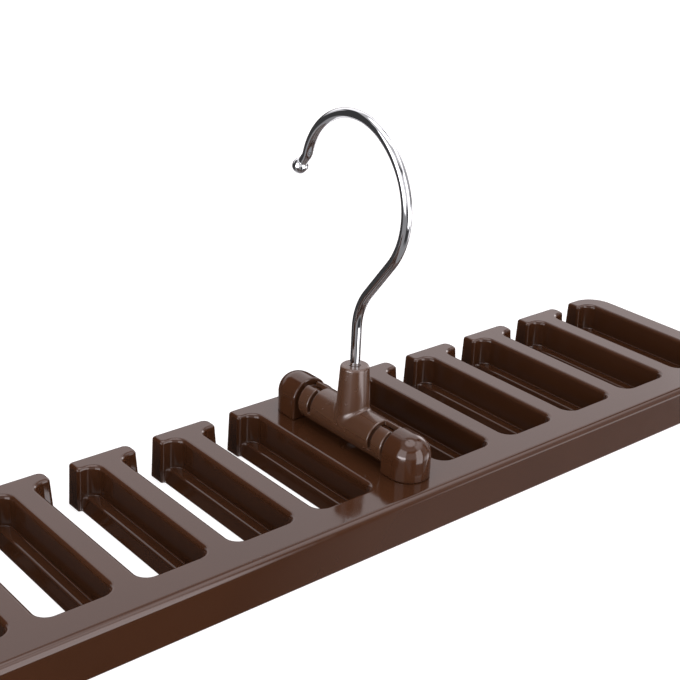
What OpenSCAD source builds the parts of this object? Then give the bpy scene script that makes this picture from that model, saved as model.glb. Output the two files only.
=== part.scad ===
// Folding tie hanger: a slotted comb-shaped rack with a folding hinge and a
// swivelling wire hook. The hinge barrel lies across the rack in the middle of
// its top face, and the hook's stem stands up from the barrel.
// Frame: origin at the centre of the flat underside, X along the rack,
// -Y towards the front rail, +Y towards the open slot mouths, +Z up.

/* [Rack] */
// Length of the rack from end to end
rack_len = 361.6; // [361:0.1:366]
// Depth of the rack from front rail to finger tips
rack_depth = 87; // [84:0.5:92]
// Height of the rack
rack_h = 15.8; // [15:0.1:16]
// Radius of the outer corners seen from above
corner_r = 11; // [6:0.5:14]
// Width of the front rail
rail_w = 11.7; // [10:0.1:13]

/* [Slots] */
// Distance from one slot to the next
pitch = 33; // [32.8:0.1:33.2]
// Distance from the middle of the rack to the middle of the first slot
first_slot = 27.36; // [27:0.02:28]
// Number of slots on each side of the hinge
slots_side = 5; // [3:1:5]
// Width of a slot above the ledge
pocket_w = 24.8; // [24:0.2:26]
// Corner radius of a slot above the ledge
pocket_r = 5.6; // [4:0.2:6]
// Width of a slot below the ledge
slot_w = 12.9; // [11:0.1:14]
// Width of a slot's mouth between two finger heads
mouth_w = 9.9; // [8:0.1:11]
// Depth of a finger's T-shaped head
head_d = 6.7; // [6:0.1:8]
// Height of the ledge that runs round a slot
ledge_h = 4.4; // [4:0.1:6]
// Wall thickness of the moulding
wall = 2.1; // [1.8:0.1:2.2]

/* [Hinge] */
// Height of the hinge axis above the underside
axis_z = 23; // [22.9:0.05:23.5]
// Radius of the hinge barrel
barrel_r = 6.85; // [6.5:0.05:6.9]
// Half of the length of the barrel
barrel_half = 22.5; // [21:0.1:22.8]
// Radius and half-width of a hinge post
post_r = 7.6; // [7:0.1:8]
// Distance from the middle to a post's inner face
post_in = 23.7; // [23.4:0.1:24.5]
// Distance from the middle to the centre of a post's round end
post_c = 29.5; // [29:0.1:31]
// Radius of a post's trunnion
trunnion_r = 4.85; // [4:0.05:5]
// Radial clearance of the trunnion in the barrel
run_gap = 0.05; // [0.03:0.01:0.1]

/* [Stem] */
// Height of the top of the stem
stem_top = 45.1; // [42:0.1:48]
// Radius at the top of the stem
stem_r = 5.05; // [4.5:0.05:5.5]
// Radius at the foot of the stem
stem_foot_r = 6.15; // [5.8:0.05:6.4]

/* [Hook] */
// Diameter of the hook's wire
wire_d = 3.5; // [3:0.1:3.6]
// Height at which the wire starts to bend
bend_z = 58.8; // [56:0.1:62]
// Radius of the first bend
bend_r = 23; // [18:0.1:26]
// Lean of the straight stretch, in degrees
lean = 38; // [34:0.1:42]
// Length of the straight stretch
lean_len = 16.9; // [12:0.1:20]
// Radius of the outer side of the hook
side_r = 28.5; // [26:0.1:31]
// Turn of the outer side, in degrees
side_turn = 100.8; // [96:0.2:104]
// Radius of the hook's crown
crown_r = 24.7; // [23:0.1:27]
// Turn of the crown, in degrees
crown_turn = 102; // [96:0.2:106]
// Radius of the outward curl at the tip
curl_r = 6; // [5:0.5:9]
// Turn of the curl at the tip, in degrees
curl_turn = 30.6; // [20:0.2:40]
// Length of the straight end up to the ball's centre
tail_len = 4; // [3.8:0.1:6]
// Diameter of the ball at the tip
ball_d = 5.4; // [4.8:0.1:6]

/* [Hidden] */
$fn = 64;
plastic = [0.27, 0.17, 0.13];
steel = [0.78, 0.79, 0.82];
eps = 0.01;

hx = rack_len / 2;
hy = rack_depth / 2;
front = -hy;
head_y = hy - head_d;            // front face of the finger heads
pocket_y = front + rail_w;       // back face of the front rail
slot_y = pocket_y + 6.2;         // front end of a slot's lower part
ledge_t = 2.0;                   // thickness of the ledge over the hollow
lip_t = 2.0;                     // thickness of the lip round a slot's lower part
ceil_z = rack_h - 2.1;           // underside of the top wall
slot_xs = [for (s = [-1, 1]) for (k = [0 : slots_side - 1]) s * (first_slot + k * pitch)];
finger_xs = [for (s = [-1, 1]) for (k = [0 : slots_side - 2]) s * (first_slot + (k + 0.5) * pitch)];

// hinge posts
tang_x = 8;                      // tang width
tang_y = 7;                      // tang depth
tang_z = 3.2;                    // lower end of a tang
boss_z = 4.6;                    // lower end of a socket
trunnion_end = 14.6;             // inner end of a trunnion, from the middle
bore_end = 14.2;                 // inner end of the barrel's bore, from the middle
bore_r = trunnion_r + run_gap;
slit_in = 15.6;                  // slit that frees the tongue
slit_out = 17.1;

// hook
wire_r = wire_d / 2;
neck_r = 0.8;                    // spigot that carries the ball
wire_bore_r = wire_r + run_gap;
recess_r = 4.2;                  // recess under the barrel
recess_top = axis_z - 2.6;
washer_r = 3.7;
washer_t = 0.8;
washer_top = recess_top - 0.05;
upset_r = 2.75;                  // headed end of the wire
upset_top = washer_top - washer_t;
upset_z = upset_top - 1.5;

// Points of the hook's centre line in its own plane: h forwards, z up.
function side_step(a, k) = k * [cos(a), -sin(a)];
p1 = [0, bend_z] + side_step(0, bend_r) - side_step(lean, bend_r);
p2 = p1 + lean_len * [sin(lean), cos(lean)];
lean3 = lean - side_turn;
c2 = p2 - side_step(lean, side_r);
p3 = c2 + side_step(lean3, side_r);
lean4 = lean3 - crown_turn;
c3 = p3 - side_step(lean3, crown_r);
p4 = c3 + side_step(lean4, crown_r);
lean5 = lean4 + curl_turn;
c4 = p4 + side_step(lean4, curl_r);
p5 = c4 - side_step(lean5, curl_r);
dir5 = [sin(lean5), cos(lean5)];
tip = p5 + tail_len * dir5;
wire_end = tail_len - ball_d / 2 + 0.1;   // the full wire stops at the ball

// A rectangle with round corners
module rounded(x0, y0, x1, y1, r) {
    translate([x0 + r, y0]) square([x1 - x0 - 2 * r, y1 - y0]);
    translate([x0, y0 + r]) square([x1 - x0, y1 - y0 - 2 * r]);
    for (x = [x0 + r, x1 - r], y = [y0 + r, y1 - r]) translate([x, y]) circle(r);
}

// A slot with its mouth, seen from above, grown by g on every side
module slot_shape(x, half, y0, y1, r, mouth_half, g) {
    rounded(x - half - g, y0 - g, x + half + g, y1 + g, r + g);
    translate([x - mouth_half - g, y1 - r]) square([2 * (mouth_half + g), hy - y1 + r + 2]);
}

// Socket for a post's tang, hanging under the top wall
module socket_walls(y) {
    translate([-tang_x / 2 - 2, y - tang_y / 2 - 2, boss_z])
        cube([tang_x + 4, tang_y + 4, ceil_z - boss_z + 0.3]);
}
module socket_hole(y) {
    translate([-tang_x / 2 - 0.05, y - tang_y / 2 - 0.05, boss_z - 1])
        cube([tang_x + 0.1, tang_y + 0.1, rack_h]);
}

// Hollow under the ledge and the hollow above it, seen from above
module low_hollow() {
    difference() {
        rounded(-hx + wall, -hy + wall, hx - wall, hy - wall, corner_r - wall);
        for (x = slot_xs)
            slot_shape(x, slot_w / 2, slot_y, head_y, 4.2, mouth_w / 2, lip_t);
    }
}
module high_hollow() {
    difference() {
        rounded(-hx + wall, -hy + wall, hx - wall, hy - wall, corner_r - wall);
        for (x = slot_xs)
            slot_shape(x, pocket_w / 2, pocket_y, head_y, pocket_r, mouth_w / 2, wall);
    }
}

module shell() {
    difference() {
        linear_extrude(rack_h) rounded(-hx, -hy, hx, hy, corner_r);
        translate([0, 0, ledge_h]) linear_extrude(rack_h) for (x = slot_xs)
            slot_shape(x, pocket_w / 2, pocket_y, head_y, pocket_r, mouth_w / 2, 0);
        translate([0, 0, -1]) linear_extrude(rack_h) for (x = slot_xs)
            slot_shape(x, slot_w / 2, slot_y, head_y, 4.2, mouth_w / 2, 0);
        translate([0, 0, -1]) linear_extrude(1 + ledge_h - ledge_t) low_hollow();
        translate([0, 0, ledge_h - ledge_t - 0.2]) linear_extrude(ceil_z - ledge_h + ledge_t + 0.2) high_hollow();
    }
}

// Stiffening ribs inside the front rail and the central block
module ribs() {
    for (x = slot_xs) translate([x - 0.8, front + wall - 0.2, 3])
        cube([1.6, rail_w - 2 * wall + 0.4, ceil_z - 3 + 0.2]);
    for (y = [-post_c, post_c]) for (s = [-1, 1])
        translate([s > 0 ? tang_x / 2 + 1.8 : -(first_slot - pocket_w / 2 - wall) - 0.2, y - 0.8, 5.4])
            cube([first_slot - pocket_w / 2 - wall - tang_x / 2 - 1.6, 1.6, ceil_z - 5.4 + 0.2]);
    translate([-0.8, -post_c + tang_y / 2 + 1.8, 7])
        cube([1.6, 2 * post_c - tang_y - 3.6, ceil_z - 7 + 0.2]);
}

module rack() {
    color(plastic) difference() {
        union() {
            shell();
            ribs();
            socket_walls(-post_c);
            socket_walls(post_c);
        }
        socket_hole(-post_c);
        socket_hole(post_c);
    }
}

// A post for the rear of the hinge, its trunnion pointing to -Y
module post() {
    len = post_c - post_in;
    translate([0, post_c, 0]) {
        translate([-post_r, -len, rack_h]) cube([2 * post_r, len, axis_z - rack_h]);
        translate([0, 0, axis_z]) rotate([90, 0, 0]) cylinder(h = len, r = post_r);
        // round, domed outer end
        intersection() {
            union() {
                translate([0, 0, rack_h]) cylinder(h = axis_z - rack_h, r = post_r);
                translate([0, 0, axis_z]) sphere(post_r);
            }
            translate([-2 * post_r, -0.5 * len, rack_h - 1]) cube([4 * post_r, 3 * post_r, 4 * post_r]);
        }
        // trunnion with a small lead-in
        translate([0, -len + eps, axis_z]) rotate([90, 0, 0])
            cylinder(h = post_in - trunnion_end - 0.6 + eps, r = trunnion_r);
        translate([0, -(post_c - trunnion_end - 0.6), axis_z]) rotate([90, 0, 0])
            cylinder(h = 0.6, r1 = trunnion_r, r2 = trunnion_r - 0.6);
        // tang with a catch on both sides below the socket
        translate([-tang_x / 2, -tang_y / 2, tang_z]) cube([tang_x, tang_y, rack_h - tang_z + 1]);
        for (s = [0, 1]) mirror([s, 0, 0]) translate([0, tang_y / 2 - 1, 0]) rotate([90, 0, 0])
            linear_extrude(tang_y - 2)
                polygon([[tang_x / 2 - 0.5, tang_z], [tang_x / 2, tang_z],
                         [tang_x / 2 + 0.7, boss_z - 0.1], [tang_x / 2 - 0.5, boss_z - 0.1]]);
    }
}

module rear_post() { color(plastic) post(); }
module front_post() { color(plastic) rotate([0, 0, 180]) post(); }

// Space that frees the tongue at the rear end of the barrel
module tongue_cut() {
    // slit round the barrel, from just past the top to below the left side
    translate([0, 0, axis_z]) rotate([90, 0, 180]) translate([0, 0, slit_in])
        rotate([0, 0, -17]) rotate_extrude(angle = 121)
            translate([bore_r - 0.3, 0]) square([barrel_r - bore_r + 1, slit_out - slit_in]);
    // notch from the slit to the barrel's end
    translate([0, 0, axis_z]) rotate([90, 0, 180]) translate([0, 0, slit_in])
        rotate([0, 0, 71]) rotate_extrude(angle = 33)
            translate([bore_r - 0.3, 0]) square([barrel_r - bore_r + 1, barrel_half - slit_in + 1]);
}

module swivel_tee() {
    color(plastic) difference() {
        union() {
            translate([0, barrel_half, axis_z]) rotate([90, 0, 0])
                cylinder(h = 2 * barrel_half, r = barrel_r);
            translate([0, 0, axis_z]) cylinder(h = stem_top - axis_z, r1 = stem_foot_r + 0.25, r2 = stem_r);
        }
        for (s = [0, 1]) mirror([0, s, 0]) {
            translate([0, barrel_half + 1, axis_z]) rotate([90, 0, 0])
                cylinder(h = barrel_half + 1 - bore_end, r = bore_r);
            tongue_cut();
        }
        translate([0, 0, recess_top - 1]) cylinder(h = stem_top - recess_top + 2, r = wire_bore_r);
        translate([0, 0, axis_z - barrel_r - 1]) cylinder(h = recess_top - axis_z + barrel_r + 1, r = recess_r);
    }
}

// A straight piece of wire from p, leaning by a degrees, with an optional tapered end
module run(p, a, len, r, taper = 0, end_r = 1) {
    translate([0, -p[0], p[1]]) rotate([a, 0, 0]) {
        if (len > 0) cylinder(h = len, r = r);
        if (taper > 0) translate([0, 0, len]) cylinder(h = taper, r1 = r, r2 = end_r);
    }
}
// A bend about c, from angle a through turn, in the hook's plane
module bend(c, r, a, turn) {
    translate([0, -c[0], c[1]]) rotate([90, 0, 90]) rotate([0, 0, a])
        rotate_extrude(angle = turn, $fn = 128) translate([r, 0]) circle(wire_r, $fn = 32);
}

// A short full collar that joins two stretches of the wire
module weld(p, a) {
    run(p - 0.1 * [sin(a), cos(a)], a, 0.2, wire_r + 0.01);
}

module hook_wire() {
    color(steel) union() {
        run([0, upset_top - 0.2], 0, bend_z - upset_top + 0.2, wire_r);
        translate([0, 0, upset_z]) cylinder(h = upset_top - upset_z, r1 = upset_r - 0.5, r2 = upset_r);
        weld([0, bend_z], 0);
        bend([bend_r, bend_z], bend_r, 0, lean);
        weld(p1, lean);
        run(p1, lean, lean_len, wire_r);
        weld(p2, lean);
        bend(c2, side_r, 180 + lean3, side_turn);
        weld(p3, lean3);
        bend(c3, crown_r, 180 + lean4, crown_turn);
        weld(p4, lean4);
        bend(c4, curl_r, lean4, curl_turn);
        weld(p5, lean5);
        run(p5, lean5, wire_end - 0.5, wire_r, 0.5, wire_r - 0.45);
        run(p5 + (wire_end - 0.6) * dir5, lean5, tail_len - wire_end + 1.8, neck_r);
    }
}

module tip_ball() {
    color(steel) difference() {
        translate([0, -tip[0], tip[1]]) sphere(ball_d / 2);
        run(tip - ball_d * dir5, lean5, ball_d + 1.3, neck_r + 0.02);
        // seat for the wire's end
        run(tip - ball_d * dir5, lean5, ball_d - (tail_len - wire_end) + 0.02, wire_r - 0.3);
    }
}

module retaining_washer() {
    color(steel) translate([0, 0, washer_top - washer_t]) difference() {
        cylinder(h = washer_t, r = washer_r);
        translate([0, 0, -1]) cylinder(h = washer_t + 2, r = wire_r + 0.05);
    }
}

rack();
front_post();
rear_post();
swivel_tee();
hook_wire();
tip_ball();
retaining_washer();
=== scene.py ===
import math

import bpy
import numpy as np
from mathutils import Matrix, Vector


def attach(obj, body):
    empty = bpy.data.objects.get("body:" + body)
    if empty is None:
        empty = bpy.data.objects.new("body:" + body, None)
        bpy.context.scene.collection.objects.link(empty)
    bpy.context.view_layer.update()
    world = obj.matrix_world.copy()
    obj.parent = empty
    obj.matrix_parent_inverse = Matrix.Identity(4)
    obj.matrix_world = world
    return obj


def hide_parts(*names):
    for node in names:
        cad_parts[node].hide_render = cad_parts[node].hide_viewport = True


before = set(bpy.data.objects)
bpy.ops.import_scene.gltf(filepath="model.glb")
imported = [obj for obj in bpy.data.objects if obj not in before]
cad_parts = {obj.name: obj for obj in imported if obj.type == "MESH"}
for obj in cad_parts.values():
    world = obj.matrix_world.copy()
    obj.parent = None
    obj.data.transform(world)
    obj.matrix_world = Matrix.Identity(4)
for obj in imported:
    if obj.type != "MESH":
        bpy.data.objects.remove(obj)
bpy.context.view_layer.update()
MM = 0.001

# ---------------------------------------------------------------- sizes (mm)
HX, HY, H = 180.8, 43.5, 15.8
PITCH, FIRST = 33.0, 27.36
SLOTS = sorted([s * (FIRST + k * PITCH) for s in (-1, 1) for k in range(5)], reverse=True)
AXIS_Z = 23.0
BARREL_R, BARREL_HALF, BORE_R, BORE_END = 6.85, 22.5, 4.9, 14.2
POST_R, POST_IN, POST_C = 7.6, 23.7, 29.5


# ---------------------------------------------------------------- mesh helpers
def add_object(name, verts, faces, smooth=True):
    me = bpy.data.meshes.new(name)
    me.from_pydata([tuple(c * MM for c in v) for v in verts], [], faces)
    me.validate()
    me.update()
    if smooth:
        me.polygons.foreach_set("use_smooth", [True] * len(me.polygons))
    ob = bpy.data.objects.new(name, me)
    bpy.context.scene.collection.objects.link(ob)
    return ob


class Builder:
    """Collects closed shells into one mesh, in millimetres."""

    def __init__(self):
        self.v, self.f = [], []

    def loops(self, loops, cap_first=True, cap_last=True):
        n = len(loops[0])
        base = len(self.v)
        for lp in loops:
            assert len(lp) == n
            self.v += [tuple(p) for p in lp]
        for i in range(len(loops) - 1):
            a, b = base + i * n, base + (i + 1) * n
            for k in range(n):
                m = (k + 1) % n
                self.f.append((a + k, a + m, b + m, b + k))
        if cap_first:
            self.f.append(tuple(range(base + n - 1, base - 1, -1)))
        if cap_last:
            e = base + (len(loops) - 1) * n
            self.f.append(tuple(range(e, e + n)))

    def grid(self, rows, close=False):
        n = len(rows[0])
        base = len(self.v)
        for r in rows:
            self.v += [tuple(p) for p in r]
        for i in range(len(rows) - 1):
            a, b = base + i * n, base + (i + 1) * n
            for k in range(n if close else n - 1):
                m = (k + 1) % n
                self.f.append((a + k, a + m, b + m, b + k))


def corner(cur, u_in, u_out, r, n):
    """Points of a right-angled corner at cur, rounded with radius r."""
    c = (cur[0] - u_in[0] * r + u_out[0] * r, cur[1] - u_in[1] * r + u_out[1] * r)
    out = []
    for i in range(n + 1):
        a = math.pi / 2 * i / n
        out.append((c[0] + r * (-u_out[0] * math.cos(a) + u_in[0] * math.sin(a)),
                    c[1] + r * (-u_out[1] * math.cos(a) + u_in[1] * math.sin(a))))
    return out


def rounded_polygon(verts):
    """verts: (x, y, radius, segments) with right angles between neighbours."""
    pts = []
    n = len(verts)
    for i, (x, y, r, seg) in enumerate(verts):
        px, py = verts[i - 1][:2]
        nx, ny = verts[(i + 1) % n][:2]
        a = Vector((x - px, y - py)).normalized()
        b = Vector((nx - x, ny - y)).normalized()
        pts += corner((x, y), a, b, max(r, 0.02), seg)
    return pts


# ---------------------------------------------------------------- the rack
def comb(z, oi, of, ph, pf, pr, rpf, rpr, mh, rc, re, ro):
    """One closed outline of the comb. oi, of: inset of the rear and ends, and of the front.
    ph, pf, pr: half-width, front and rear of a slot. mh: half-width of a mouth."""
    v = [(-HX + oi, -HY + of, ro, 16), (HX - oi, -HY + of, ro, 16), (HX - oi, HY - oi, ro, 16)]
    rpr = min(rpr, ph - mh - rc - 0.02)
    rl = min(re + 1.4, HY - oi - pr - rc - 0.05)     # the lobe on this side of a mouth is rounder
    for x in SLOTS:
        v += [(x + mh, HY - oi, re, 6), (x + mh, pr, rc, 7), (x + ph, pr, rpr, 10), (x + ph, pf, rpf, 12),
              (x - ph, pf, rpf, 12), (x - ph, pr, rpr, 10), (x - mh, pr, rc, 7), (x - mh, HY - oi, rl, 10)]
    v.append((-HX + oi, HY - oi, ro, 16))
    return [(px, py, z) for px, py in rounded_polygon(v)]


def lip(z, r, top=H):
    """Inset of a rounded top edge of radius r at height z."""
    d = z - (top - r)
    return 0.0 if d <= 0 else r - math.sqrt(max(r * r - d * d, 0.0))


def finger(z):
    """Half-width of a finger at height z, above the ledge."""
    return 5.05 - 0.5 * (z - 5.4) / 8.8


R_TOP, R_FRONT, R_REAR, R_HEAD, R_MOUTH = 1.5, 2.5, 1.1, 1.2, 1.1


def head(z):
    """Front face of a finger's T-shaped end at height z, which leans back a little."""
    return 36.25 + 0.06 * z


def mouth(z):
    return 4.2 + 0.05 * z


def build_rack():
    b = Builder()
    L = []
    # from the top face down the outside
    for z in (15.8, 15.79, 15.74, 15.64, 15.48, 15.25, 14.95, 14.6, 14.3, 13.8, 13.3):
        t, hd, mo, o = lip(z, R_TOP), lip(z, R_HEAD), lip(z, R_MOUTH), lip(z, R_REAR)
        L.append(comb(z, o, lip(z, R_FRONT), 16.5 - finger(z) + t, -30.3 - t, head(z) + hd, 4.4 + t, 4.2 + hd,
                      mouth(z) + mo, 1.3, 0.8, 11 - o))
    for z in (10.0, 6.0, 5.55):
        L.append(comb(z, 0, 0, 16.5 - finger(z), -30.3 + 0.03 * (13.3 - z), head(z), 4.35, 4.2, mouth(z), 1.25, 0.8, 11))
    # fillet at the foot of the slot's wall, then the ledge, which falls only slightly
    r = 0.45
    for k in range(1, 6):
        a = math.pi / 2 * k / 6
        z, q = 5.45 - r * math.sin(a), r * (1 - math.cos(a))
        L.append(comb(z, 0, 0, 16.5 - finger(5.45) - q, -30.07 + q, head(z) - 0.15 * q, 4.3 - 0.5 * q, 4.1 - 0.5 * q,
                      mouth(z), 1.25, 0.8, 11))
    for ph, z in ((10.95, 4.985), (10.7, 4.97), (8.35, 4.85), (8.25, 4.845), (8.1, 4.815), (8.03, 4.795), (7.72, 4.685),
                  (7.64, 4.65)):
        w = (ph - 7.95) / 2.9
        L.append(comb(z, 0, 0, ph, -26.55 - (ph - 7.95) * 1.02, head(z), 4.0, 1.85 + 1.6 * w, mouth(z), 1.2, 0.8, 11))
    # rounded edge of the ledge, then the leaning lower wall
    for dz, dx in ((0.2, 0.43), (0.3, 0.52), (0.42, 0.59), (0.55, 0.65), (0.7, 0.71), (0.9, 0.77)):
        L.append(comb(4.76 - dz, 0, 0, 7.95 - dx, -26.55 + dx, head(4.0), 4.0 - dx, 1.7, mouth(4), 1.1, 0.8, 11))
    L.append(comb(2.2, 0, 0, 6.4, -25.0, head(2.2), 3.3, 1.1, mouth(2.2), 0.95, 0.8, 11))
    L.append(comb(0.45, 0, 0, 5.55, -24.4, head(0.4), 3.0, 0.62, mouth(0.4), 0.7, 0.8, 11))
    L.append(comb(0.3, 0.02, 0.02, 5.52, -24.4, head(0.3), 3.0, 0.6, 4.22, 0.68, 0.8, 11))
    L.append(comb(0.1, 0.12, 0.12, 5.57, -24.5, 36.4, 3.05, 0.6, 4.3, 0.65, 0.75, 10.9))
    L.append(comb(0.0, 0.35, 0.35, 5.75, -24.7, 36.6, 3.15, 0.6, 4.5, 0.6, 0.6, 10.65))
    # across the rim, then up the hollow inside
    L.append(comb(0.0, 1.7, 1.7, 7.1, -26.0, 38.1, 3.8, 0.5, 6.0, 0.22, 0.35, 9.3))
    L.append(comb(0.12, 1.95, 1.95, 7.35, -26.25, 38.3, 3.9, 0.5, 6.2, 0.22, 0.3, 9.05))
    L.append(comb(0.4, 2.05, 2.05, 7.5, -26.4, 38.4, 4.0, 0.5, 6.3, 0.22, 0.3, 8.95))
    L.append(comb(2.2, 2.1, 2.1, 8.3, -27.0, 38.45, 4.2, 0.6, 6.4, 0.22, 0.3, 8.9))
    L.append(comb(2.5, 2.1, 2.1, 8.6, -27.3, 38.45, 4.3, 0.7, 6.4, 0.22, 0.3, 8.9))
    L.append(comb(3.1, 2.1, 2.1, 12.9, -31.5, 38.5, 5.8, 5.2, 6.45, 0.22, 0.3, 8.9))
    L.append(comb(3.5, 2.1, 2.1, 13.35, -31.95, 38.55, 6.1, 5.6, 6.5, 0.22, 0.3, 8.9))
    L.append(comb(13.0, 2.2, 2.3, 13.95, -32.3, 39.1, 6.3, 5.6, 7.0, 0.22, 0.3, 8.8))
    L.append(comb(13.2, 2.2, 2.3, 13.97, -32.35, 39.12, 6.3, 5.6, 7.02, 0.22, 0.3, 8.8))
    L.append(comb(13.55, 2.35, 2.5, 14.1, -32.5, 39.2, 6.4, 5.6, 7.1, 0.2, 0.28, 8.6))
    L.append(comb(13.7, 2.7, 2.9, 14.4, -32.8, 39.4, 6.6, 5.6, 7.4, 0.15, 0.25, 8.3))
    b.loops(L, True, True)
    # ribs and the sockets of the posts, hanging under the top wall
    def block(x0, y0, z0, x1, y1, z1, r=0.35, s=0.25):
        out = []
        for z, i in ((z0, s), (z0 + 0.1, 0.08), (z0 + 0.3, 0.0), (z1, -0.15)):
            out.append([(px, py, z) for px, py in rounded_polygon(
                [(x0 + i, y0 + i, r, 3), (x1 - i, y0 + i, r, 3), (x1 - i, y1 - i, r, 3), (x0 + i, y1 - i, r, 3)])])
        b.loops(out)
    for x in SLOTS:
        block(x - 0.8, -41.6, 3.0, x + 0.8, -32.0, 13.9)
    for y in (-POST_C, POST_C):
        for s in (-1, 1):
            block(min(s * 5.5, s * 13.4), y - 0.8, 5.4, max(s * 5.5, s * 13.4), y + 0.8, 13.9)
        # socket: four walls round the tang
        X, Y, T = 4.05, 3.55, 2.0
        rows = []
        def ring(z, gx, gy, r):
            return [(px, py + y, z) for px, py in rounded_polygon(
                [(-gx, -gy, r, 4), (gx, -gy, r, 4), (gx, gy, r, 4), (-gx, gy, r, 4)])]
        for z, g, r in ((13.9, T + 0.1, 1.0), (5.0, T, 0.9), (4.7, T - 0.1, 0.8), (4.6, T - 0.35, 0.7),
                        (4.6, 0.45, 0.4), (4.75, 0.15, 0.25), (5.1, 0.0, 0.2), (13.9, 0.0, 0.2)):
            rows.append(ring(z, X + g, Y + g, r))
        b.loops(rows, True, True)
    block(-0.8, -24.2, 7.0, 0.8, 24.2, 13.9)
    ob = add_object("rack_moulding", b.v, b.f)
    w = ob.modifiers.new("normals", "WEIGHTED_NORMAL")
    w.keep_sharp = True
    w.weight = 80
    return ob


# ---------------------------------------------------------------- implicit shapes
def net(f, lo, hi, h, name):
    """Closed mesh of the surface f = 0 (f < 0 inside), in millimetres, with its vertices pulled on to it."""
    ax = [np.arange(lo[i], hi[i] + h, h) for i in range(3)]
    X, Y, Z = np.meshgrid(*ax, indexing="ij")
    F = f(X, Y, Z).astype(np.float32)
    S = F < 0
    nx, ny, nz = F.shape
    cell = np.zeros((nx - 1, ny - 1, nz - 1), int)
    for i in (0, 1):
        for j in (0, 1):
            for k in (0, 1):
                cell += S[i:nx - 1 + i, j:ny - 1 + j, k:nz - 1 + k]
    active = (cell > 0) & (cell < 8)
    idx = -np.ones(cell.shape, int)
    idx[active] = np.arange(active.sum())
    acc = np.zeros((active.sum(), 3))
    cnt = np.zeros(active.sum())
    # crossings along each axis, added to the four cells round the edge
    quads = []
    for d in range(3):
        a = [slice(None)] * 3
        b = [slice(None)] * 3
        a[d] = slice(0, -1)
        b[d] = slice(1, None)
        fa, fb = F[tuple(a)], F[tuple(b)]
        cr = (fa < 0) != (fb < 0)
        I = np.argwhere(cr)
        t = (fa[cr] / (fa[cr] - fb[cr])).astype(float)
        P = I.astype(float)
        P[:, d] += t
        e1, e2 = [(1, 2), (2, 0), (0, 1)][d]
        ids = []
        ok = np.ones(len(I), bool)
        for o1, o2 in ((0, 0), (-1, 0), (-1, -1), (0, -1)):
            C = I.copy()
            C[:, e1] += o1
            C[:, e2] += o2
            good = np.all((C >= 0) & (C < np.array(cell.shape)), axis=1)
            Cc = np.clip(C, 0, np.array(cell.shape) - 1)
            q = idx[Cc[:, 0], Cc[:, 1], Cc[:, 2]]
            good &= q >= 0
            ok &= good
            ids.append(q)
            np.add.at(acc, q[good], P[good])
            np.add.at(cnt, q[good], 1)
        Q = np.stack(ids, 1)[ok]
        inside = (fa[cr] < 0)[ok]
        Q[~inside] = Q[~inside][:, ::-1]
        quads.append(Q)
    V = acc / cnt[:, None] * h + np.array([a[0] for a in ax])
    e = h * 0.05

    def grad(V):
        g = np.stack([f(V[:, 0] + e, V[:, 1], V[:, 2]) - f(V[:, 0] - e, V[:, 1], V[:, 2]),
                      f(V[:, 0], V[:, 1] + e, V[:, 2]) - f(V[:, 0], V[:, 1] - e, V[:, 2]),
                      f(V[:, 0], V[:, 1], V[:, 2] + e) - f(V[:, 0], V[:, 1], V[:, 2] - e)], 1) / (2 * e)
        return g
    for _ in range(5):
        g = grad(V)
        v = f(V[:, 0], V[:, 1], V[:, 2])
        step = g * (v / np.maximum((g ** 2).sum(1), 0.2))[:, None]
        n = np.linalg.norm(step, axis=1)
        step *= np.minimum(1, 0.4 * h / np.maximum(n, 1e-9))[:, None]
        V = V - step
    g = grad(V)
    g /= np.maximum(np.linalg.norm(g, axis=1), 1e-9)[:, None]
    Q = np.concatenate(quads)
    me = bpy.data.meshes.new(name)
    me.from_pydata((V * MM).tolist(), [], Q.tolist())
    me.validate()
    me.polygons.foreach_set("use_smooth", [True] * len(me.polygons))
    me.update()
    me.normals_split_custom_set_from_vertices(g.tolist())
    ob = bpy.data.objects.new(name, me)
    bpy.context.scene.collection.objects.link(ob)
    return ob


def smin(a, b, k):
    h = np.clip(0.5 + 0.5 * (b - a) / k, 0, 1)
    return b + (a - b) * h - k * h * (1 - h)


def smax(a, b, k):
    return -smin(-a, -b, k)


def post_shape(sign):
    """A post at y = sign * POST_C with its trunnion towards the middle."""
    def f(X, Y, Z):
        y = Y * sign
        over_y = np.maximum(y - POST_C - (0.8 if sign > 0 else 0), 0)
        over_z = np.maximum(Z - AXIS_Z, 0)
        n = 2.15
        cap = (over_y ** n + over_z ** n) ** (1 / n)
        body = np.sqrt(X ** 2 + cap ** 2) - POST_R
        body = smax(body, POST_IN - y, 0.7)
        body = smax(body, 15.9 - Z, 0.5)
        R = np.sqrt(X ** 2 + (Z - AXIS_Z) ** 2)
        pin = smax(R - 4.85, 14.6 - y, 0.7)
        pin = np.maximum(pin, y - POST_C)
        out = smin(body, pin, 0.35)
        tang = np.maximum(np.abs(X) - 4.0, np.abs(y - POST_C) - 3.5)
        tang = smax(tang, 3.2 - Z, 0.4)
        tang = np.maximum(tang, Z - 17)
        catch = np.maximum(np.abs(y - POST_C) - 2.5, np.maximum(Z - 4.5, 3.2 - Z))
        catch = np.maximum(catch, np.abs(X) - (4.0 + 0.7 * np.clip((Z - 3.2) / 1.3, 0, 1)))
        return np.minimum(out, smin(tang, catch, 0.2))
    return f


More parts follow.
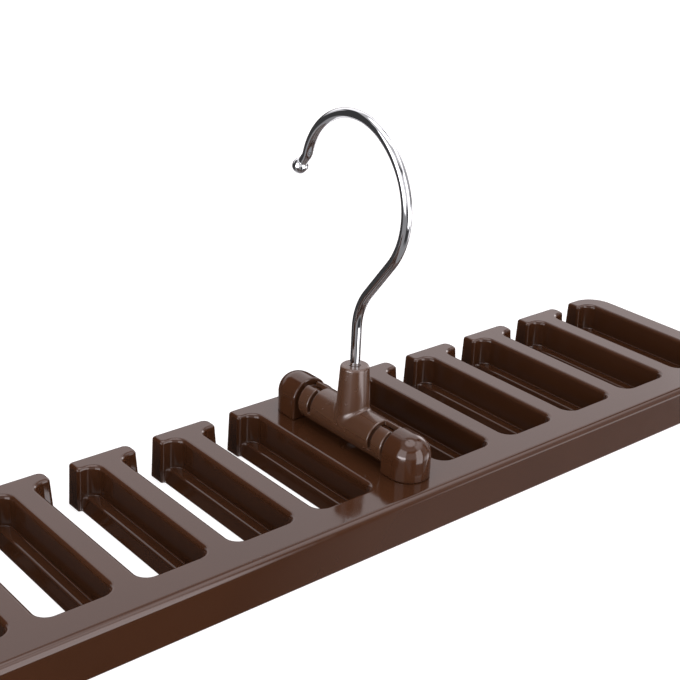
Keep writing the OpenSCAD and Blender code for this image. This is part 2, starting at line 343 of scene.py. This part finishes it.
def tee_shape(X, Y, Z):
    R = np.sqrt(X ** 2 + (Z - AXIS_Z) ** 2)
    y = np.abs(Y)
    barrel = smax(R - BARREL_R, y - BARREL_HALF, 0.7)
    # tapered stem, rounded at its top rim
    r = np.sqrt(X ** 2 + Y ** 2)
    slope = (6.35 - 5.05) / (45.1 - AXIS_Z)
    cone = (r - (6.35 - slope * (Z - AXIS_Z))) * math.cos(math.atan(slope))
    stem = smax(cone, Z - 45.1, 1.0)
    stem = np.maximum(stem, AXIS_Z - 1 - Z)
    out = smin(barrel, stem, 1.1)
    # bores of the trunnions
    out = smax(out, -np.maximum(R - BORE_R, BORE_END - y), 0.3)
    # the slit and the notch that free a tongue at each end
    a = np.degrees(np.arctan2(Z - AXIS_Z, X)) % 360
    def sector(a0, a1):
        mid, half = (a0 + a1) / 2, (a1 - a0) / 2
        d = (a - mid + 180) % 360 - 180
        return np.radians(np.abs(d) - half) * np.maximum(R, 1)
    slit = np.maximum(sector(76, 197), np.abs(y - 16.35) - 0.75)
    notch = np.maximum(sector(76, 109), np.maximum(15.6 - y, y - 24))
    cut = np.maximum(np.minimum(slit, notch), 3.5 - R)
    out = smax(out, -cut, 0.45)
    # bore of the wire and the recess under the barrel
    out = smax(out, -(r - 1.85), 0.35)
    out = smax(out, -np.maximum(r - 4.2, Z - (AXIS_Z - 2.6)), 0.4)
    return out


# ---------------------------------------------------------------- the hook
def hook_path(step=0.6):
    """Centre line (h forwards, z) with its direction, as arcs and straights."""
    segs = [("L", 58.8 - 20.0), ("A", 23.0, 38.0), ("L", 16.9), ("A", 28.5, -100.8), ("A", 24.7, -102.0),
            ("A", 6.0, 23.5), ("L", 4.0 - 2.7 + 0.7)]
    p, psi = np.array([0.0, 20.0]), 0.0
    out = [(p.copy(), psi)]
    for s in segs:
        if s[0] == "L":
            n = max(2, int(s[1] / 1.5))
            for i in range(1, n + 1):
                q = p + np.array([math.sin(psi), math.cos(psi)]) * s[1] * i / n
                out.append((q, psi))
            p = q
        else:
            R, t = s[1], math.radians(s[2])
            sg = 1 if t > 0 else -1
            n = max(6, int(abs(R * t) / step))
            c = p + np.array([math.cos(psi), -math.sin(psi)]) * R * sg
            for i in range(1, n + 1):
                a = psi + t * i / n
                q = c - np.array([math.cos(a), -math.sin(a)]) * R * sg
                out.append((q, a))
            p, psi = q, psi + t
    return out


def ring_at(q, psi, r, n=40):
    """A ring of radius r round the hook's line; the ring's plane holds X and the in-plane normal."""
    N = np.array([0.0, -math.cos(psi), -math.sin(psi)])      # in-plane normal (h axis is -Y)
    out = []
    for i in range(n):
        a = 2 * math.pi * i / n
        x = r * math.cos(a)
        m = r * math.sin(a)
        out.append((x, -q[0] + N[1] * m, q[1] + N[2] * m))
    return out


def build_hook():
    path = hook_path()
    b = Builder()
    loops = []
    # headed lower end under the washer
    for z, r in ((18.05, 1.6), (18.05, 2.0), (18.15, 2.2), (18.4, 2.36), (19.2, 2.68), (19.45, 2.74), (19.55, 2.7), (19.55, 1.9), (19.58, 1.75)):
        loops.append(ring_at(np.array([0.0, z]), 0.0, r))
    for q, psi in path:
        loops.append(ring_at(q, psi, 1.747))
    q, psi = path[-1]
    d = np.array([math.sin(psi), math.cos(psi)])
    # rounded shoulder and the thin spigot into the ball
    for s, r in ((0.12, 1.72), (0.24, 1.62), (0.34, 1.45), (0.4, 1.2), (0.42, 1.0), (0.5, 0.95), (2.0, 0.95)):
        loops.append(ring_at(q + d * s, psi, r))
    b.loops(loops, True, True)
    hook = add_object("hook_rod", b.v, b.f)
    tip = q + d * 2.6
    b = Builder()
    rows = []
    # ball with the small seat where the wire goes in, its axis along the wire
    prof = []
    for i in range(25):
        a = math.radians(22 + (180 - 22) * i / 24)
        prof.append((-2.8 * math.cos(a), 2.8 * math.sin(a)))
    prof[-1] = (2.8, 0.02)
    for s, r in [(-1.9, 0.97), (-2.45, 0.98)] + prof:
        rows.append(ring_at(tip + d * s, psi, r, 48))
    b.loops(rows, True, True)
    ball = add_object("hook_ball", b.v, b.f)
    # washer
    b = Builder()
    rows = []
    zt, zb = 20.35, 19.55
    for z, r in ((zb, 1.8), (zb, 3.5), (zb + 0.1, 3.65), (zb + 0.25, 3.7), (zt - 0.15, 3.7), (zt, 3.55), (zt, 1.95), (zt - 0.1, 1.8)):
        rows.append(ring_at(np.array([0.0, z]), 0.0, r, 48))
    rows.append(rows[0])
    b.loops(rows, False, False)
    washer = add_object("end_washer", b.v, b.f)
    for ob in (hook, ball, washer):
        w = ob.modifiers.new("normals", "WEIGHTED_NORMAL")
        w.keep_sharp = True
        merge(ob)
    return hook, ball, washer


def merge(ob):
    import bmesh
    bm = bmesh.new()
    bm.from_mesh(ob.data)
    bmesh.ops.remove_doubles(bm, verts=bm.verts, dist=1e-7)
    bmesh.ops.recalc_face_normals(bm, faces=bm.faces)
    bm.to_mesh(ob.data)
    bm.free()
    ob.data.polygons.foreach_set("use_smooth", [True] * len(ob.data.polygons))


# ---------------------------------------------------------------- materials
def material(name):
    m = bpy.data.materials.new(name)
    m.use_nodes = True
    nt = m.node_tree
    return m, nt, nt.nodes["Principled BSDF"], nt.nodes["Material Output"]


def noise(nt, scale, detail=3.0, rough=0.5, vec=None, dist=0.0):
    n = nt.nodes.new("ShaderNodeTexNoise")
    n.inputs["Scale"].default_value = scale
    n.inputs["Detail"].default_value = detail
    n.inputs["Roughness"].default_value = rough
    n.inputs["Distortion"].default_value = dist
    if vec is not None:
        nt.links.new(vec, n.inputs["Vector"])
    return n


def ramp(nt, src, stops):
    r = nt.nodes.new("ShaderNodeValToRGB")
    el = r.color_ramp.elements
    while len(el) < len(stops):
        el.new(0.5)
    for e, (p, c) in zip(el, stops):
        e.position = p
        e.color = c if len(c) == 4 else (*c, 1)
    nt.links.new(src, r.inputs["Fac"])
    return r


def span(nt, src, a, b, lo=0.3, hi=0.7):
    m = nt.nodes.new("ShaderNodeMapRange")
    m.inputs["From Min"].default_value = lo
    m.inputs["From Max"].default_value = hi
    m.inputs["To Min"].default_value = a
    m.inputs["To Max"].default_value = b
    nt.links.new(src, m.inputs["Value"])
    return m


def brown_plastic(name, dark, light, rough, spec):
    m, nt, p, _ = material(name)
    tc = nt.nodes.new("ShaderNodeTexCoord")
    co = tc.outputs["Object"]
    flow = noise(nt, 22.0, 3.0, 0.55, co, 0.6)
    col = ramp(nt, flow.outputs["Fac"], [(0.3, dark), (0.7, light)])
    nt.links.new(col.outputs["Color"], p.inputs["Base Color"])
    fine = noise(nt, 180.0, 4.0, 0.6, co)
    rg = span(nt, fine.outputs["Fac"], *rough)
    nt.links.new(rg.outputs["Result"], p.inputs["Roughness"])
    p.inputs["IOR"].default_value = 1.53
    p.inputs["Specular IOR Level"].default_value = spec
    wave = noise(nt, 34.0, 2.0, 0.5, co)
    bump = nt.nodes.new("ShaderNodeBump")
    bump.inputs["Strength"].default_value = 0.05
    bump.inputs["Distance"].default_value = 0.0006
    nt.links.new(wave.outputs["Fac"], bump.inputs["Height"])
    pits = noise(nt, 1400.0, 2.0, 0.5, co)
    bump2 = nt.nodes.new("ShaderNodeBump")
    bump2.inputs["Strength"].default_value = 0.03
    bump2.inputs["Distance"].default_value = 0.00003
    nt.links.new(pits.outputs["Fac"], bump2.inputs["Height"])
    nt.links.new(bump.outputs["Normal"], bump2.inputs["Normal"])
    nt.links.new(bump2.outputs["Normal"], p.inputs["Normal"])
    return m


def chrome():
    m, nt, p, _ = material("chrome_plate")
    tc = nt.nodes.new("ShaderNodeTexCoord")
    co = tc.outputs["Object"]
    a = noise(nt, 160.0, 3.0, 0.6, co)
    col = ramp(nt, a.outputs["Fac"], [(0.3, (0.72, 0.765, 0.79)), (0.7, (0.775, 0.82, 0.84))])
    nt.links.new(col.outputs["Color"], p.inputs["Base Color"])
    p.inputs["Metallic"].default_value = 1.0
    b = noise(nt, 900.0, 2.0, 0.5, co)
    rg = span(nt, b.outputs["Fac"], 0.035, 0.085)
    nt.links.new(rg.outputs["Result"], p.inputs["Roughness"])
    c = noise(nt, 260.0, 2.0, 0.5, co)
    bump = nt.nodes.new("ShaderNodeBump")
    bump.inputs["Strength"].default_value = 0.08
    bump.inputs["Distance"].default_value = 0.00006
    nt.links.new(c.outputs["Fac"], bump.inputs["Height"])
    nt.links.new(bump.outputs["Normal"], p.inputs["Normal"])
    return m


def zinc():
    m, nt, p, _ = material("zinc_plate")
    tc = nt.nodes.new("ShaderNodeTexCoord")
    co = tc.outputs["Object"]
    v = nt.nodes.new("ShaderNodeTexVoronoi")
    v.inputs["Scale"].default_value = 900.0
    nt.links.new(co, v.inputs["Vector"])
    col = ramp(nt, v.outputs["Distance"], [(0.0, (0.46, 0.47, 0.48)), (0.8, (0.62, 0.62, 0.63))])
    nt.links.new(col.outputs["Color"], p.inputs["Base Color"])
    p.inputs["Metallic"].default_value = 1.0
    n = noise(nt, 700.0, 3.0, 0.6, co)
    rg = span(nt, n.outputs["Fac"], 0.28, 0.42)
    nt.links.new(rg.outputs["Result"], p.inputs["Roughness"])
    bump = nt.nodes.new("ShaderNodeBump")
    bump.inputs["Strength"].default_value = 0.2
    bump.inputs["Distance"].default_value = 0.00005
    nt.links.new(n.outputs["Fac"], bump.inputs["Height"])
    nt.links.new(bump.outputs["Normal"], p.inputs["Normal"])
    return m


# ---------------------------------------------------------------- build
BROWN = brown_plastic("brown_plastic_gloss", (0.0422, 0.0160, 0.0068), (0.0488, 0.0187, 0.0080), (0.075, 0.125), 0.5)
# the tee: a rougher finish with stronger specular reflection, and a lighter copy of the rack's brown as painted light,
# so that the tee reads brighter
SATIN_LIGHTENED = brown_plastic("brown_plastic_satin_lightened", (0.0600, 0.0262, 0.0124), (0.0685, 0.0300, 0.0144), (0.22, 0.28), 0.85)
CHROME, ZINC = chrome(), zinc()


def dress(ob, mat, body, slot, *nodes):
    ob.data.materials.clear()
    ob.data.materials.append(mat)
    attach(ob, body)
    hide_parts(*nodes)


rack = build_rack()
merge(rack)
dress(rack, BROWN, "base", "brown_plastic", "rack")

GRID = 0.28
front_post = net(post_shape(-1), (-8.2, -38.64, 2.6), (8.2, -14.0, 31.2), GRID, "front_post_moulding")
rear_post = net(post_shape(1), (-8.2, 14.0, 2.6), (8.2, 38.6, 31.2), GRID, "rear_post_moulding")
tee = net(tee_shape, (-7.4, -23.2, 15.6), (7.4, 23.2, 45.7), GRID, "swivel_tee_moulding")
dress(front_post, BROWN, "base", "brown_plastic", "front_post")
dress(rear_post, BROWN, "base", "brown_plastic", "rear_post")
dress(tee, SATIN_LIGHTENED, "tee", "brown_plastic", "swivel_tee")

hook, ball, washer = build_hook()
dress(hook, CHROME, "hook", "chrome_wire", "hook_wire")
dress(ball, CHROME, "hook", "chrome_wire", "tip_ball")
dress(washer, ZINC, "hook", "plated_washer", "retaining_washer")

# ---------------------------------------------------------------- stage
scene = bpy.context.scene


def build_stage():
    S = 6.0
    me = bpy.data.meshes.new("floor")
    me.from_pydata([(-S, -S, 0), (S, -S, 0), (S, S, 0), (-S, S, 0)], [], [(0, 1, 2, 3)])
    ob = bpy.data.objects.new("floor", me)
    scene.collection.objects.link(ob)
    m, nt, p, _ = material("floor_pale")
    p.inputs["Base Color"].default_value = (0.4, 0.4, 0.405, 1)
    p.inputs["Roughness"].default_value = 0.9
    p.inputs["Specular IOR Level"].default_value = 0.0
    p.inputs["Emission Color"].default_value = (1, 1, 1, 1)
    # painted glow: the floor emits soft light of its own, weaker near the object and at full strength further out, so
    # that it fades into the white behind
    tc = nt.nodes.new("ShaderNodeTexCoord")
    ln = nt.nodes.new("ShaderNodeVectorMath")
    ln.operation = "LENGTH"
    nt.links.new(tc.outputs["Object"], ln.inputs[0])
    glow = span(nt, ln.outputs["Value"], FLOOR_GLOW, 1.0, 0.3, 1.2)
    nt.links.new(glow.outputs["Result"], p.inputs["Emission Strength"])
    me.materials.append(m)
    ob.visible_glossy = False
    ob.visible_diffuse = False
    ob.visible_shadow = False
    ob.visible_transmission = False
    return ob


def build_world():
    """White where the camera looks; for light and reflections a dim room with softboxes and pale walls."""
    w = bpy.data.worlds.new("studio")
    scene.world = w
    w.use_nodes = True
    nt = w.node_tree
    out = nt.nodes["World Output"]
    seen = nt.nodes["Background"]
    seen.inputs["Color"].default_value = (1, 1, 1, 1)
    seen.inputs["Strength"].default_value = 1.0
    tc = nt.nodes.new("ShaderNodeTexCoord")
    sep = nt.nodes.new("ShaderNodeSeparateXYZ")
    nt.links.new(tc.outputs["Generated"], sep.inputs["Vector"])

    def math_node(op, a, b=None, c=None):
        n = nt.nodes.new("ShaderNodeMath")
        n.operation = op
        for i, v in enumerate((a, b, c)):
            if v is None:
                continue
            if isinstance(v, (int, float)):
                n.inputs[i].default_value = v
            else:
                nt.links.new(v, n.inputs[i])
        return n.outputs[0]

    def smooth(v, lo, hi, a, b):
        n = nt.nodes.new("ShaderNodeMapRange")
        n.interpolation_type = "SMOOTHSTEP"
        n.inputs["From Min"].default_value = lo
        n.inputs["From Max"].default_value = hi
        n.inputs["To Min"].default_value = a
        n.inputs["To Max"].default_value = b
        nt.links.new(v, n.inputs["Value"])
        return n.outputs[0]
    # azimuth from +Y towards +X and elevation of the direction, in degrees
    azim = math_node("MULTIPLY", math_node("ARCTAN2", sep.outputs["X"], sep.outputs["Y"]), 180 / math.pi)
    elev = math_node("MULTIPLY", math_node("ARCSINE", sep.outputs["Z"]), 180 / math.pi)
    total = None
    for az0, az1, el0, el1, radiance, soft in LIGHTS:
        off = math_node("ABSOLUTE", math_node("WRAP", math_node("SUBTRACT", azim, (az0 + az1) / 2), 180.0, -180.0))
        half = (az1 - az0) / 2
        across = smooth(off, half - soft, half + soft, radiance, 0.0)
        rise = math_node("ABSOLUTE", math_node("SUBTRACT", elev, (el0 + el1) / 2))
        half = (el1 - el0) / 2
        up = smooth(rise, half - min(soft, half), half + soft, 1.0, 0.0)
        part = math_node("MULTIPLY", across, up)
        total = part if total is None else math_node("ADD", total, part)
    lit = nt.nodes.new("ShaderNodeBackground")
    lit.inputs["Color"].default_value = (1.0, 0.93, 0.95, 1)
    nt.links.new(total, lit.inputs["Strength"])
    path = nt.nodes.new("ShaderNodeLightPath")
    mix = nt.nodes.new("ShaderNodeMixShader")
    nt.links.new(path.outputs["Is Camera Ray"], mix.inputs["Fac"])
    nt.links.new(lit.outputs["Background"], mix.inputs[1])
    nt.links.new(seen.outputs["Background"], mix.inputs[2])
    nt.links.new(mix.outputs["Shader"], out.inputs["Surface"])


# softboxes and pale walls round the object: first and last azimuth, lower and upper edge, radiance, softness
# (all but the radiance in degrees; azimuths run from +Y towards +X)
LIGHTS = [
    (-120, -72, -13, 40, 2.8, 2.5), (-120, -80, -5, 5, 8.0, 2.5),                       # softbox at the left
    (-180, -122, -4, 30, 0.8, 5), (-180, -60, 40, 52, 0.6, 5),                          # wall behind it
    (149, 184, -26, 34, 3.6, 2.5), (95, 172, 34, 64, 1.9, 9),                           # softboxes at the front
    (112, 142, -4, 34, 0.5, 6),
    (-5, 75, 12, 52, 1.3, 5), (-24, -3, 7, 26, 0.7, 4),                                # pale back wall
    (60, 80, 4, 26, 2.7, 5), (80, 100, -4, 36, 0.75, 5),
    (-8, 48, -60, -28, 0.8, 3),                                                         # floor behind the object
    (48, 100, -50, -28, 1.6, 3), (106, 140, -21, -6, 1.8, 3),
    (98, 140, -45, -12, 0.31, 5), (98, 119, -32, -12, 1.3, 3), (-150, -60, -45, -6, 0.25, 5),   # in front of it
    (-181, 181, -92, -45, 0.24, 5),
    (-180, 0, 50, 92, 0.5, 5), (0, 180, 50, 92, 0.45, 5),                               # ceiling
    (-181, 181, 68, 92, 2.6, 5),
    (-181, 181, -92, 92, 0.05, 5),
]
FLOOR_GLOW = 0.75
build_stage()
build_world()

# camera, from the photograph's own perspective
yaw, pit, roll = math.radians(40.718), math.radians(23.6518), math.radians(2.4128)
fwd = Vector((math.sin(yaw) * math.cos(pit), math.cos(yaw) * math.cos(pit), -math.sin(pit)))
right0 = Vector((math.cos(yaw), -math.sin(yaw), 0))
up0 = right0.cross(fwd)
right = math.cos(roll) * right0 + math.sin(roll) * up0
up = -math.sin(roll) * right0 + math.cos(roll) * up0
cam = bpy.data.cameras.new("photo_camera")
cam.sensor_width = 36.0
cam.lens = 1338.394 / 680 * 36.0
cam.clip_start, cam.clip_end = 0.01, 50
cam_ob = bpy.data.objects.new("photo_camera", cam)
scene.collection.objects.link(cam_ob)
M = Matrix((right, up, -fwd)).transposed().to_4x4()
M.translation = Vector((-0.27816, -0.31472, 0.23812))
cam_ob.matrix_world = M
scene.camera = cam_ob

scene.view_settings.view_transform = "Standard"
scene.view_settings.look = "None"
